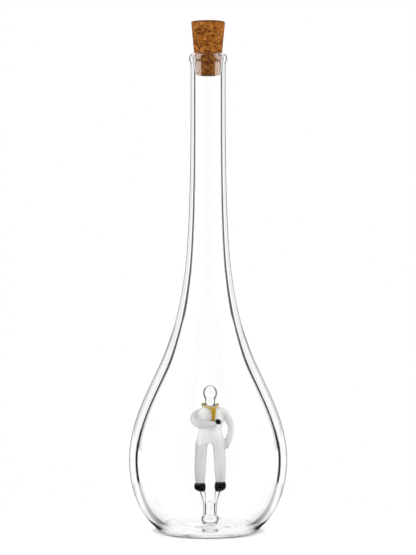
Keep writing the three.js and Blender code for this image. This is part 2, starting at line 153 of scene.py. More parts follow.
# Painted shade: where the colour of the glass is darkened towards its edges. 0 is a square look at its
# skin, 1 a look along it
BULB_EDGE_START = 0.88
NECK_EDGE_START = 0.7
NECK_EDGE_END = 0.8
HEEL_EDGE_START = 0.63
HEEL_EDGE_END = 0.76
HEEL_LEAN = -0.1                   # its skin faces down by more than this
HEEL_EDGE_FROM = (1.8 * MM, 3 * MM)  # painted shade: heights of the dark wedge on the outside of the heel
HEEL_EDGE_TO = (6.5 * MM, 9.5 * MM)
LIP_EDGE_START = 0.62
LIP_EDGE_END = 0.74
FIGURE_EDGE_START = 0.2            # in the figure's head, ankles and foot
FIGURE_EDGE_END = 0.5
STEM_EDGE_START = 0.7
ANKLE_EDGE_START = 0.05            # on the outer side of the ankles
ANKLE_EDGE_END = 0.3
UPRIGHT_LEAN = (0.6, 0.9)          # skin that faces up by more than this gets no painted dark edge
PLAIN_BLEND = 0.5                  # makes the layer weight one minus the cosine of the look
FIGURE_REACH = 9 * MM              # of the figure's clear parts from its own axis
CORE_FROM = (0.18, 0.22)           # painted dark lines in the stem, inside its outline
CORE_TO = (0.34, 0.38)
STEM_FROM = (STEM_LOW, STEM_LOW + 1.5 * MM)
STEM_TO = (STEM_HIGH - 0.5 * MM, STEM_HIGH)
ANKLE_TO = (SOLE_HEIGHT, SOLE_HEIGHT + 1 * MM)
WAVE_SIZE = 18 * MM
WAVE_DEPTH = 0.01 * MM
HEM_HEIGHTS = [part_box("leg_" + side)[0].z for side in ("right", "left")]
HIP_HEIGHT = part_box("torso")[0].z
THIGH_HEIGHT = HIP_HEIGHT - 4 * MM
CHEST_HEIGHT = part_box("torso")[1].z - 12 * MM
LEG_WHITE = 0.7
CHEST_WHITE = 0.84
STREAK_SIZE = 1.1 * MM
STREAK_STRETCH = 0.12              # streaks run up and down
STREAK_DEPTH = 0.05
STREAK_CLOUD = (0.3, 0.7)          # range of the noise that makes them
RIGHT_SHARE = 0.75                 # of the white in the thin arms
RIGHT_ASIDE = (-6 * MM, -8.5 * MM)  # how far they lie beside and in front of the middle
RIGHT_AHEAD = (-4 * MM, -6 * MM)
LEFT_SHARE = 0.86
LEFT_ASIDE = (7 * MM, 10 * MM)
# painted shade: how much greyer the milky glass is made where it is seen along its skin
PAINTED_WHITE_EDGE_SHADE = 0.18
WHITE_BLEND = 0.35
WHITE_EDGE = (0.2, 1.0)
WHITE_MILK = 0.8                   # share of the light that wanders inside the glass
WHITE_DEPTH = 2.5 * MM
WHITE_ROUGH = (0.08, 0.2)
RIPPLE_SIZE = 3 * MM
RIPPLE_DEPTH = 0.06 * MM
TIE_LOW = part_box("necktie")[0].z
COLLAR_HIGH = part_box("collar_cord")[1].z
AMBER_CLOUD = 1.2 * MM
AMBER_DRIFT = 0.25 * MM            # by which the colours wander up and down
AMBER_STOPS = (
    (0.0, screen(128, 92, 24)), (0.15, screen(190, 154, 22)), (0.6, screen(204, 166, 20)),
    (0.74, screen(228, 188, 76)), (0.84, screen(244, 230, 172)), (0.93, screen(154, 140, 36)),
)
AMBER_CLEAR = 0.35                 # share of the light that passes through
AMBER_MILK = 0.3                   # and that wanders inside
AMBER_SPREAD = (1, 0.7, 0.2)
AMBER_DEPTH = 0.6 * MM
AMBER_ROUGH = (0.03, 0.12)
PIT_SIZE = 0.9 * MM
PIT_DEPTH = 0.12 * MM
# painted glints: small pale specks in the colour of the black glass
PAINTED_GLINT_SIZE = 0.5 * MM
PAINTED_GLINT_LEVEL = 0.3
PAINTED_GLINT_CLOUD = (0.66, 0.7)
BLACK_LEVEL = 0.001
DOT_SIZE = 0.8 * MM                # pale dots along the hem of the trousers
DOT_LEVEL = 0.15
DOT_CLOUD = (0.55, 0.62)
HEM_FROM = (0.1 * MM, 0.3 * MM)
HEM_TO = (0.7 * MM, 0.9 * MM)
BLACK_SHINE = 0.04
BLACK_ROUGH = (0.04, 0.15)
GRAIN_SIZE = 1.5 * MM
GRAIN_BEND = 1.2 * MM              # by which the granules lose their straight edges
GRAIN_DEPTH = 0.25 * MM
GRAIN_STOPS = (
    (0.0, screen(98, 54, 14)), (0.3, screen(128, 76, 26)), (0.7, screen(150, 92, 38)),
    (1.0, screen(176, 116, 58)),
)
BARK_SIZE = 1.6 * MM
BARK_SHARE = 0.9
BARK_CLOUD = (0.53, 0.64)
BARK_COLOUR = screen(62, 32, 8)
PORE_SIZE = 0.9 * MM
PORE_CLOUD = (0.66, 0.72)
PORE_COLOUR = screen(44, 22, 4)
RIM_SHARE = 0.8                    # how far the cork's upper rim is darkened towards the bark colour
RIM_REACH = (CORK_TOP_RADIUS - 3 * CORK_EDGE, CORK_TOP_RADIUS - CORK_EDGE)
CORK_SHINE = 0.15
CORK_ROUGH = (0.75, 0.95)

# Fineness of the meshes
BOTTLE_SIDES = 192
FIGURE_SIDES = 64
CURVE_STEPS = 40
EDGE_STEPS = 14
FLOOR_SIDES = 96

# Camera of the photograph, whose frame is 416 by 555 pixels
FRAME_WIDTH = 416
FRAME_HEIGHT = 555
PIXEL = 0.6 * MM                   # size of a pixel at the bottle's axis
AXIS_COLUMN = 208.1                # pixel column of the bottle's axis
CAMERA_DISTANCE = 1131 * MM
CAMERA_HEIGHT = 181.5 * MM
AIM_HEIGHT = 152.2 * MM
SENSOR = 36.0                      # millimetres, as Blender counts lenses

# Light
DOME_LEVEL = 0.8                   # what matt surfaces receive from all round
STRIP_LEVEL = 3.5                  # radiance of the two strip lights
STRIP_ANGLE = 65                   # degrees between the camera and a strip, seen from the bottle
STRIP_DISTANCE = 0.9
STRIP_WIDTH = 0.42
STRIP_HEIGHT = 1.1
STRIP_MIDDLE = 0.35
BOX_TURN = (97, 133)               # where glass mirrors the strips, degrees from straight behind
BOX_RISE = (-15, 55)               # degrees above the horizon
BOX_SOFT = 15
BOX_GLOSS = 8                      # their radiance in the outside of the glass
BOX_INSIDE = 4                     # and inside the bottle
BEHIND_LEVEL = 1.14                # what straight looks through glass meet
BULB_TURN = (38, 44)               # dark panels for echoes in the bulb's wall
BULB_RISE = (-17, 0.5)
SHOULDER_TURN = (40.7, 51)         # in the wall above it
SHOULDER_RISE_SEEN = (4.5, 25)
NECK_TURN = (39.5, 56)             # in the neck
NECK_RISE = (0.5, 4.5)
LIP_TURN = (42, 64)                # in the lip and low in the bulb
LIP_RISE = (-21, -17)
AGAIN_TURN = (26, 35)              # and for second echoes in a wall
AGAIN_DEPTH = 2.5                  # which are thrown back at least three times
WALL_DEPTH = 2.5                   # and cross two skins of glass
GLOSS_TURN = (46, 58)              # a dark panel for what the outside reflects
PANEL_SOFT = 1.5
PANEL_LEVEL = 0.01
FAR_DEPTH = 3.5                    # a look that comes back from inside crosses at least four
ENTERED_DEPTH = 0.5                # and one that enters the glass crosses at least one
FRONT_TURN = (85, 125)             # where the dark room behind the camera begins
FRONT_LEVEL = 0.03
EDGE_TURN = (14, 28)               # the outer contour mirrors a dim strip of the white behind
EDGE_RISE = (-2, 1)                # above this, at the neck, that strip is wider
EDGE_WIDER = 14
FLOOR_EDGE_TURN = (45, 65)         # and of the floor there
EDGE_GLOSS = 0.05
FLOOR_RADIUS = 0.15
FLOOR_DROP = 0.02 * MM             # keeps the floor clear of the glass that stands on it
FLOOR_COLOUR = 0.85
FLOOR_GLOW = 0.4
FLOOR_ECHO_FROM = (37 * MM, 40 * MM)  # beside and before this the floor is grey after an echo
FLOOR_ECHO = 0.45
FLOOR_GLOSS = (40 * MM, 70 * MM)   # painted shadow: nearer to the bottle the heel mirrors a floor painted dark
FLOOR_GLOSS_LEVEL = 0.1
PAINTED_CONTACT_SHADOW = 0.45               # painted shadow: darkness painted on the floor under the bottle's heel
CONTACT_FRONT = 1.8                # share of it in front of the bottle and behind it
CONTACT_ASIDE = (0.6, 0.95)        # how far to the side, as a sine, that share falls to 1
CONTACT_THROUGH = 1.6              # share of it that is seen through the glass, in front only
CONTACT_HALF = (-8 * MM, 0.0)      # depth at which that ends
CONTACT_INSIDE = (26.5 * MM, 28.4 * MM)
CONTACT_OUTSIDE = (29 * MM, 36 * MM)
MAX_BOUNCES = 200                  # light runs far in the thick base before it leaves
GLASS_BOUNCES = 150


# Curves in the half plane (radius, height)
def bezier(points, steps):
    """Points on a Bezier curve of any degree, both ends included."""
    line = []
    for step in range(steps + 1):
        share = step / steps
        left = [Vector(p) for p in points]
        while len(left) > 1:
            left = [a.lerp(b, share) for a, b in zip(left, left[1:])]
        line.append(left[0])
    return line


def along_lean(start, degrees, distance):
    lean = radians(degrees)
    return Vector((start[0] + distance * sin(lean), start[1] + distance * cos(lean)))


def chain(*lines):
    """Joins lines end to end and drops repeated points."""
    joined = []
    for line in lines:
        for place in line:
            place = Vector(place)
            if not joined or (place - joined[-1]).length > SAME_PLACE:
                joined.append(place)
    return joined


def evened(values, middle, reach):
    """Smooths a list of places or sizes around one of its places."""
    for _ in range(reach):
        old = list(values)
        for i in range(middle - reach, middle + reach + 1):
            values[i] = (old[i - 1] + 2 * old[i] + old[i + 1]) / 4


# Meshes
def add_object(name, data):
    piece = bpy.data.objects.new(name, data)
    bpy.context.scene.collection.objects.link(piece)
    return piece


def spin(name, profile, sides, axis_x=0.0):
    """A closed body turned from a profile that starts and ends on the axis."""
    build = bmesh.new()
    rings = []
    for radius, height in profile:
        if radius < SAME_PLACE:
            rings.append([build.verts.new((axis_x, 0, height))])
            continue
        ring = []
        for side in range(sides):
            angle = 2 * pi * side / sides
            ring.append(build.verts.new((axis_x + radius * cos(angle), radius * sin(angle), height)))
        rings.append(ring)
    for low, high in zip(rings, rings[1:]):
        for side in range(sides):
            corners = []
            for vert in (low[side % len(low)], low[(side + 1) % len(low)],
                         high[(side + 1) % len(high)], high[side % len(high)]):
                if vert not in corners:
                    corners.append(vert)
            build.faces.new(corners)
    return finish_mesh(name, build)


def finish_mesh(name, build):
    mesh = bpy.data.meshes.new(name)
    for face in build.faces:
        face.smooth = True
    build.to_mesh(mesh)
    build.free()
    return add_object(name, mesh)


def settle(piece):
    """Applies a piece's modifiers to its mesh."""
    graph = bpy.context.evaluated_depsgraph_get()
    mesh = bpy.data.meshes.new_from_object(piece.evaluated_get(graph))
    mesh.name = piece.name
    piece.modifiers.clear()
    piece.data = mesh
    for face in mesh.polygons:
        face.use_smooth = True


def swelled(piece, distance):
    grow = piece.modifiers.new("grow", "DISPLACE")
    grow.strength = distance
    grow.mid_level = 0


def relaxed(piece, rounds):
    relax = piece.modifiers.new("relax", "SMOOTH")
    relax.factor = RELAX_FACTOR
    relax.iterations = rounds
    return relax


def melt(piece, swell, keep, voxel, rounds):
    """Fuses what a piece holds into one smooth body, as glass does when it is hot.

    The piece swells, so that grooves close, and keeps only a little of that.
    """
    swelled(piece, swell)
    remesh = piece.modifiers.new("remesh", "REMESH")
    remesh.mode = "VOXEL"
    remesh.voxel_size = voxel
    relaxed(piece, rounds)
    swelled(piece, keep - swell)
    relaxed(piece, rounds)
    settle(piece)


def ease(piece, height, reach, rounds):
    """Evens out a level of a piece, such as a step where two of its bodies met."""
    group = piece.vertex_groups.new(name="eased")
    for vert in piece.data.vertices:
        near = 1 - abs(vert.co.z - height) / reach
        if near > 0:
            group.add([vert.index], min(2 * near, 1), "REPLACE")
    relaxed(piece, rounds).vertex_group = group.name
    settle(piece)
    piece.vertex_groups.clear()


def melted_copy(name, nodes, sizes):
    """One smooth piece from copies of CAD nodes, which it replaces."""
    build = bmesh.new()
    for node in nodes:
        build.from_mesh(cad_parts[node].data)
    bmesh.ops.remove_doubles(build, verts=build.verts, dist=SAME_PLACE)
    piece = finish_mesh(name, build)
    melt(piece, *sizes)
    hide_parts(*nodes)
    return piece


def unite(piece, other):
    """Adds another body to a piece and takes the other away."""
    union = piece.modifiers.new("union", "BOOLEAN")
    union.operation = "UNION"
    union.solver = "EXACT"
    union.object = other
    settle(piece)
    bpy.data.objects.remove(other)


# Bottle
neck_radius = NECK_BORE + NECK_WALL
lip_low = MOUTH_HEIGHT - LIP_HEIGHT
cork_taper = (CORK_TOP_RADIUS - CORK_BOTTOM_RADIUS) / (CORK_HIGH - CORK_LOW)
mouth_radius = CORK_BOTTOM_RADIUS + cork_taper * (MOUTH_HEIGHT - CORK_LOW) + CORK_CLEARANCE


def bulb_walls():
    """Outer and inner points of the bulb from the seam up to the even part of the neck."""
    seam = Vector((SEAM_RADIUS, SEAM_HEIGHT))
    widest = Vector((BULB_RADIUS, BULB_HEIGHT))
    shoulder = Vector((SHOULDER_RADIUS, BULB_HEIGHT + SHOULDER_RISE))
    neck = Vector((neck_radius, lip_low - NECK_STRAIGHT))
    curves = [
        [seam, along_lean(seam, SEAM_LEAN, SEAM_PULL),
         (BULB_RADIUS, BULB_HEIGHT - BULB_PULL_DOWN), widest],
        [widest, (BULB_RADIUS, BULB_HEIGHT + BULB_PULL_UP),
         along_lean(shoulder, -SHOULDER_LEAN, -SHOULDER_PULL_DOWN), shoulder],
        [shoulder, along_lean(shoulder, -SHOULDER_LEAN, SHOULDER_PULL_UP),
         (neck_radius, neck.y - NECK_PULL), neck],
    ]
    walls = [SEAM_WALL, BULB_WALL, SHOULDER_WALL, NECK_WALL]
    eases = [1, 1, NECK_EASE]
    delays = [0, 0, NECK_DELAY]
    outer = [seam]
    thickness = [SEAM_WALL]
    for i, curve in enumerate(curves):
        for step, place in enumerate(bezier(curve, CURVE_STEPS)[1:], start=1):
            way = step / CURVE_STEPS
            way = (1 + delays[i]) * way * way / (way + delays[i])
            share = 1 - (1 - way) ** eases[i]
            outer.append(place)
            thickness.append(walls[i] + (walls[i + 1] - walls[i]) * share)
    evened(outer, 2 * CURVE_STEPS, SHOULDER_EVENED)
    evened(thickness, 2 * CURVE_STEPS, SHOULDER_EVENED)
    inner = []
    for i, place in enumerate(outer):
        along = outer[min(i + 1, len(outer) - 1)] - outer[max(i - 1, 0)]
        inward = Vector((-along.y, along.x)).normalized()
        inner.append(place + thickness[i] * inward)
    return outer, inner


def lip_line():
    half = LIP_HEIGHT / 2
    bead = Vector((mouth_radius + LIP_WALL, lip_low + half))
    return chain(
        bezier([(neck_radius, lip_low), (neck_radius, lip_low + half / 2),
                (bead.x, bead.y - half / 2), bead], EDGE_STEPS),
        bezier([bead, (bead.x, bead.y + half / 2), (bead.x - LIP_EDGE, MOUTH_HEIGHT),
                (mouth_radius + LIP_EDGE, MOUTH_HEIGHT)], EDGE_STEPS),
        bezier([(mouth_radius + LIP_EDGE, MOUTH_HEIGHT), (mouth_radius, MOUTH_HEIGHT),
                (mouth_radius, MOUTH_HEIGHT - LIP_EDGE)], EDGE_STEPS),
    )


def bottle_line():
    """The whole section of the bottle, from the middle of its underside to its floor."""
    outer, inner = bulb_walls()
    contact_inside = CONTACT_RADIUS - CONTACT_WIDTH
    seam = Vector((SEAM_RADIUS, SEAM_HEIGHT))
    taper_start = CORK_LOW + (NECK_BORE - CORK_BOTTOM_RADIUS - CORK_CLEARANCE) / cork_taper
    under = bezier([(0, PUNT_DEPTH), (contact_inside / 2, PUNT_DEPTH), (contact_inside, 0)], EDGE_STEPS)
    heel = bezier([(CONTACT_RADIUS, 0), (CONTACT_RADIUS + HEEL_REACH, 0),
                   along_lean(seam, SEAM_LEAN, -HEEL_DROP), seam], EDGE_STEPS)
    corner = bezier([inner[0], (FLOOR_CORNER, FLOOR_HEIGHT), (FLOOR_FLAT, FLOOR_HEIGHT)], EDGE_STEPS)
    return chain(
        under, heel, outer, lip_line(), [(NECK_BORE, taper_start)], reversed(inner), corner,
        [(0, FLOOR_HEIGHT)])


def ankle(side):
    """A leaning peg from the stem up to the sole of a shoe."""
    low = STEM_HIGH - ANKLE_SUNK
    build = bmesh.new()
    rings = []
    for step in range(EDGE_STEPS + 1):
        share = step / EDGE_STEPS
        height = low + (SOLE_HEIGHT - low) * share
        rise = (height - STEM_HIGH) / (SOLE_HEIGHT - STEM_HIGH)
        middle = FIGURE_X + side * (ANKLE_LOW_X + (ANKLE_TOP_X - ANKLE_LOW_X) * rise)
        radius = ANKLE_LOW_RADIUS + (ANKLE_TOP_RADIUS - ANKLE_LOW_RADIUS) * rise
        ring = []
        for corner in range(FIGURE_SIDES):
            angle = 2 * pi * corner / FIGURE_SIDES
            ring.append(build.verts.new((middle + radius * cos(angle), radius * sin(angle), height)))
        rings.append(ring)
    for a, b in zip(rings, rings[1:]):
        for i in range(FIGURE_SIDES):
            j = (i + 1) % FIGURE_SIDES
            build.faces.new((a[i], a[j], b[j], b[i]))
    build.faces.new(reversed(rings[0]))
    build.faces.new(rings[-1])
    return finish_mesh("ankle", build)


def pedestal():
    """Foot, stem and two ankles of the figure as one body that reaches into the floor."""
    sunk = FLOOR_HEIGHT - FOOT_SUNK
    flank = chain(
        [(0, sunk)],
        bezier([(FOOT_SOLE_RADIUS + FOOT_FILLET, sunk), (FOOT_SOLE_RADIUS, FLOOR_HEIGHT),
                (FOOT_SOLE_RADIUS, FLOOR_HEIGHT + FOOT_WAIST_RISE)], EDGE_STEPS),
        bezier([(FOOT_SOLE_RADIUS, FLOOR_HEIGHT + FOOT_WAIST_RISE),
                (FOOT_RADIUS, FLOOR_HEIGHT + FOOT_WAIST_RISE),
                (FOOT_RADIUS, FLOOR_HEIGHT + FOOT_BULGE_RISE)], EDGE_STEPS),
        bezier([(FOOT_RADIUS, FLOOR_HEIGHT + FOOT_BULGE_RISE), (FOOT_RADIUS, STEM_LOW),
                (STEM_RADIUS, STEM_LOW)], EDGE_STEPS),
        bezier([(STEM_RADIUS, STEM_LOW), (STEM_RADIUS - 2 * STEM_WAIST, (STEM_LOW + STEM_HIGH) / 2),
                (STEM_RADIUS, STEM_HIGH)], EDGE_STEPS),
        [(0, STEM_HIGH)],
    )
    body = spin("pedestal", flank, FIGURE_SIDES, FIGURE_X)
    for side in (-1, 1):
        unite(body, ankle(side))
    melt(body, *PEDESTAL_MELT)
    return body


bottle = spin("bottle_glass", bottle_line(), BOTTLE_SIDES)
unite(bottle, pedestal())
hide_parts("bottle_body", "bottle_base", "pedestal_foot", "pedestal_stem",
            "ankle_right", "ankle_left")


# Figure
def head():
    nape_low = THROAT_HEIGHT + THROAT_LENGTH
    crown_low = HEAD_TOP - CROWN_HEIGHT
    crown = []
    for step in range(EDGE_STEPS + 1):
        angle = pi / 2 * step / EDGE_STEPS
        crown.append((HEAD_RADIUS * cos(angle), crown_low + CROWN_HEIGHT * sin(angle)))
    line = chain(
        [(0, THROAT_HEIGHT), (THROAT_RADIUS, THROAT_HEIGHT)],
        bezier([(THROAT_RADIUS, nape_low), (THROAT_RADIUS, nape_low + NAPE_PULL),
                (HEAD_RADIUS, crown_low - NAPE_PULL), (HEAD_RADIUS, crown_low)], EDGE_STEPS),
        crown)
    piece = spin("figure_head", line, FIGURE_SIDES, FIGURE_X)
    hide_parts("head")
    return piece


suit = melted_copy(
    "figure_suit", ["torso", "leg_right", "leg_left", "arm_right", "arm_left"], SUIT_MELT)
ease(suit, HIP_HEIGHT, HIP_REACH, HIP_ROUNDS)
knob = head()
shoes = [melted_copy("figure_shoe_" + side, ["shoe_" + side], SHOE_MELT) for side in ("right", "left")]
collar = melted_copy("amber_collar", ["collar_cord", "necktie"], COLLAR_MELT)
bead = melted_copy("hand_bead_glass", ["hand_bead"], BEAD_MELT)

middle = (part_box("hand_bead")[0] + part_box("hand_bead")[1]) / 2
slant = Matrix.Rotation(radians(BEAD_SLANT), 3, "Y") @ Matrix.Diagonal((BEAD_WIDE, 1, BEAD_FLAT))
for vert in bead.data.vertices:
    vert.co = middle + slant @ (vert.co - middle)


def cork_line():
    low = [(CORK_BOTTOM_RADIUS - CORK_LOW_EDGE, CORK_LOW), (CORK_BOTTOM_RADIUS, CORK_LOW),
           (CORK_BOTTOM_RADIUS + cork_taper * CORK_LOW_EDGE, CORK_LOW + CORK_LOW_EDGE)]
    high = [(CORK_TOP_RADIUS - cork_taper * CORK_EDGE, CORK_HIGH - CORK_EDGE),
            (CORK_TOP_RADIUS, CORK_HIGH), (CORK_TOP_RADIUS - CORK_EDGE, CORK_HIGH)]
    return chain([(0, CORK_LOW)], bezier(low, EDGE_STEPS), bezier(high, EDGE_STEPS), [(0, CORK_HIGH)])


cork = spin("cork_grain", cork_line(), FIGURE_SIDES)
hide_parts("cork_stopper")


# Materials
class Nodes:
    """Builds the node tree of a material or a world."""

    def __init__(self, owner):
        owner.use_nodes = True
        self.tree = owner.node_tree
        self.tree.nodes.clear()

    def add(self, kind, inputs, **settings):
        node = self.tree.nodes.new("ShaderNode" + kind)
        for name, value in settings.items():
            setattr(node, name, value)
        for name, value in inputs.items():
            socket = node.inputs[name]
            if isinstance(value, bpy.types.NodeSocket):
                self.tree.links.new(value, socket)
            else:
                socket.default_value = value
        return node

    def math(self, operation, a, b):
        return self.add("Math", {0: a, 1: b}, operation=operation).outputs[0]

    def product(self, first, *others):
        for other in others:
            first = self.math("MULTIPLY", first, other)
        return first

    def mix(self, share, low, high):
        """The low value where share is 0, and the high one where it is 1 or more."""
        return self.add("MapRange", {"Value": share, "To Min": low, "To Max": high}).outputs[0]

    def ramp(self, value, start, end, low=0.0, high=1.0):
        """A smooth step from low to high."""
        return self.add("MapRange", {
            "Value": value, "From Min": start, "From Max": end, "To Min": low, "To Max": high},
            interpolation_type="SMOOTHSTEP").outputs[0]

    def band(self, value, start, end):
        """1 between two smooth steps, 0 outside them."""
        return self.math("SUBTRACT", self.ramp(value, *start), self.ramp(value, *end))

    def place(self):
        """The place on the piece, in metres."""
        return self.add("TexCoord", {}).outputs["Object"]

    def parts(self, vector):
        return self.add("SeparateXYZ", {"Vector": vector}).outputs

    def distance(self, vector, middle=(0, 0, 0)):
        return self.add("VectorMath", {0: vector, 1: middle}, operation="DISTANCE").outputs["Value"]

    def stretch(self, vector, factors):
        return self.add("VectorMath", {0: vector, 1: factors}, operation="MULTIPLY").outputs["Vector"]

    def noise(self, vector, size, detail=2.0):
        """Clouds of about this size, from 0 to 1."""
        return self.add("TexNoise", {"Vector": vector, "Scale": 1 / size, "Detail": detail}).outputs["Fac"]

    def colours(self, value, stops):
        """A blend through (position, colour) stops."""
        node = self.add("ValToRGB", {"Fac": value})
        bar = node.color_ramp.elements
        while len(bar) < len(stops):
            bar.new(1.0)
        for stop, (position, colour) in zip(bar, stops):
            stop.position = position
            stop.color = colour
        return node.outputs["Color"]

    def blend(self, share, low, high):
        """One colour over another."""
        node = self.add("Mix", {"Factor": share}, data_type="RGBA")
        for socket, value in zip(node.inputs[6:8], (low, high)):
            if isinstance(value, bpy.types.NodeSocket):
                self.tree.links.new(value, socket)
            else:
                socket.default_value = value
        return node.outputs[2]

    def bump(self, height, depth):
        return self.add("Bump", {"Height": height, "Distance": depth}).outputs["Normal"]

    def window(self, angle, limits, fade=PANEL_SOFT):
        """1 between two limits in degrees, fading to 0 outside them."""
        start, end = (radians(limit) for limit in limits)
        soft = radians(fade)
        return self.band(angle, (start - soft, start), (end, end + soft))


def new_material(name):
    material = bpy.data.materials.new(name)
    return material, Nodes(material)


def painted_edge_shade(nodes, place):
    """How clear the skin of the glass is, with painted shade: it is darkened towards its edges, by a rule
    for each part.
    """
    parts = nodes.parts(place)
    height = parts["Z"]
    start = nodes.ramp(height, NECK_FROM, NECK_TO, BULB_EDGE_START, NECK_EDGE_START)
    lip = nodes.ramp(height, lip_low - LIP_EDGE, lip_low + LIP_EDGE)
    start = nodes.mix(lip, start, LIP_EDGE_START)
    end = nodes.mix(lip, nodes.ramp(height, NECK_FROM, NECK_TO, 1.0, NECK_EDGE_END), LIP_EDGE_END)
    normal = nodes.parts(nodes.add("NewGeometry", {}).outputs["Normal"])
    lean = normal["Z"]
    heel = nodes.band(height, HEEL_EDGE_FROM, HEEL_EDGE_TO)
    heel = nodes.product(heel, nodes.math("LESS_THAN", lean, HEEL_LEAN))
    start = nodes.mix(heel, start, HEEL_EDGE_START)
    end = nodes.mix(heel, end, HEEL_EDGE_END)
    apart = nodes.distance(nodes.stretch(place, (1, 1, 0)), (FIGURE_X, 0, 0))
    figure = nodes.math("LESS_THAN", apart, FIGURE_REACH)
    figure = nodes.product(figure, nodes.math("LESS_THAN", height, HEAD_TOP + HEAD_RADIUS))
    stem = nodes.band(height, STEM_FROM, STEM_TO)
    start = nodes.mix(figure, start, nodes.mix(stem, FIGURE_EDGE_START, STEM_EDGE_START))
    end = nodes.mix(figure, end, nodes.mix(stem, FIGURE_EDGE_END, 1.0))
    aside = nodes.math("SUBTRACT", parts["X"], FIGURE_X)
    outward = nodes.math("GREATER_THAN", nodes.product(aside, normal["X"]), 0.0)
    ankles = nodes.product(nodes.band(height, STEM_TO, ANKLE_TO), figure, outward)
    start = nodes.mix(ankles, start, ANKLE_EDGE_START)
    end = nodes.mix(ankles, end, ANKLE_EDGE_END)
    facing = nodes.add("LayerWeight", {"Blend": PLAIN_BLEND}).outputs["Facing"]
    grazing = nodes.add("MapRange", {"Value": facing, "From Min": start, "From Max": end}).outputs[0]
    core = nodes.product(nodes.band(facing, CORE_FROM, CORE_TO), stem, figure)
    grazing = nodes.math("MAXIMUM", grazing, core)
    upright = nodes.ramp(lean, *UPRIGHT_LEAN, 1.0, 0.0)
    return nodes.mix(nodes.product(grazing, upright), GLASS_TINT, PAINTED_EDGE_DARK)


def clear_glass():
    """Hand-blown glass: clear, with the faintest waves, and painted shade that darkens it towards its
    edges.
    """
    material, nodes = new_material("clear_glass")
    place = nodes.place()
    waves = nodes.noise(place, WAVE_SIZE, detail=1.0)
    shader = nodes.add("BsdfPrincipled", {
        "Base Color": painted_edge_shade(nodes, place), "Roughness": 0.0, "IOR": GLASS_IOR,
        "Transmission Weight": 1.0, "Normal": nodes.bump(waves, WAVE_DEPTH)})
    nodes.add("OutputMaterial", {"Surface": shader.outputs[0]})
    return material


def white_glass():
    """Milky glass with drawn streaks, greyer towards the feet, and painted shade at its edges."""
    material, nodes = new_material("white_glass")
    place = nodes.place()
    parts = nodes.parts(place)
    white = nodes.ramp(parts["Z"], THIGH_HEIGHT, CHEST_HEIGHT, LEG_WHITE, CHEST_WHITE)
    streaks = nodes.noise(nodes.stretch(place, (1, 1, STREAK_STRETCH)), STREAK_SIZE, detail=3.0)
    streaked = nodes.ramp(streaks, *STREAK_CLOUD, 1 - STREAK_DEPTH, 1 + STREAK_DEPTH)
    aside = nodes.math("SUBTRACT", parts["X"], FIGURE_X)
    right = nodes.math("MAXIMUM", nodes.ramp(aside, *RIGHT_ASIDE), nodes.ramp(parts["Y"], *RIGHT_AHEAD))
    right_arm = nodes.mix(right, 1.0, RIGHT_SHARE)
    left_arm = nodes.ramp(aside, *LEFT_ASIDE, 1.0, LEFT_SHARE)
    facing = nodes.add("LayerWeight", {"Blend": WHITE_BLEND}).outputs["Facing"]
    # painted shade: greyer towards the outline, by the look along the skin
    edge = nodes.ramp(facing, *WHITE_EDGE, 1.0, 1 - PAINTED_WHITE_EDGE_SHADE)
    ripple = nodes.noise(place, RIPPLE_SIZE)
    shader = nodes.add("BsdfPrincipled", {
        "Base Color": nodes.product(white, streaked, right_arm, left_arm, edge),
        "Roughness": nodes.mix(streaks, *WHITE_ROUGH), "IOR": GLASS_IOR,
        "Subsurface Weight": WHITE_MILK, "Subsurface Radius": (1, 1, 1), "Subsurface Scale": WHITE_DEPTH,
        "Normal": nodes.bump(ripple, RIPPLE_DEPTH)})
    nodes.add("OutputMaterial", {"Surface": shader.outputs[0]})
    return material


def amber_glass():
    """Honey-coloured glass: olive in the drops, pale in the thin strands, deep in the tie."""
    material, nodes = new_material("amber_glass")
    place = nodes.place()
    cloud = nodes.noise(place, AMBER_CLOUD)
    height = nodes.math("ADD", nodes.parts(place)["Z"], nodes.mix(cloud, -AMBER_DRIFT, AMBER_DRIFT))
    share = nodes.add("MapRange", {
        "Value": height, "From Min": TIE_LOW, "From Max": COLLAR_HIGH}).outputs[0]
    colour = nodes.colours(share, AMBER_STOPS)
    shader = nodes.add("BsdfPrincipled", {
        "Base Color": colour, "Roughness": nodes.mix(cloud, *AMBER_ROUGH), "IOR": GLASS_IOR,
        "Transmission Weight": AMBER_CLEAR, "Subsurface Weight": AMBER_MILK,
        "Subsurface Radius": AMBER_SPREAD, "Subsurface Scale": AMBER_DEPTH,
        "Normal": nodes.bump(cloud, RIPPLE_DEPTH)})
    nodes.add("OutputMaterial", {"Surface": shader.outputs[0]})
    return material


def black_glass():
    """Black glass with a pitted skin that catches small lights, painted glints in its colour, and a row of
    dots at the hem.
    """
    material, nodes = new_material("black_glass")
    place = nodes.place()
    pits = nodes.noise(place, PIT_SIZE, detail=3.0)
    # painted glints: pale specks mixed into the black colour
    specks = nodes.ramp(nodes.noise(place, PAINTED_GLINT_SIZE, detail=1.0), *PAINTED_GLINT_CLOUD)
    parts = nodes.parts(place)
    left = nodes.math("GREATER_THAN", parts["X"], FIGURE_X)
    below = nodes.math("SUBTRACT", nodes.mix(left, *HEM_HEIGHTS), parts["Z"])
    hem = nodes.band(below, HEM_FROM, HEM_TO)
    dots = nodes.ramp(nodes.noise(place, DOT_SIZE, detail=0.0), *DOT_CLOUD)
    level = nodes.mix(specks, BLACK_LEVEL, PAINTED_GLINT_LEVEL)
    level = nodes.mix(nodes.product(hem, dots), level, DOT_LEVEL)
    shader = nodes.add("BsdfPrincipled", {
        "Base Color": level, "Roughness": nodes.mix(pits, *BLACK_ROUGH), "IOR": GLASS_IOR,
        "Specular IOR Level": BLACK_SHINE, "Normal": nodes.bump(pits, PIT_DEPTH)})
    nodes.add("OutputMaterial", {"Surface": shader.outputs[0]})
    return material


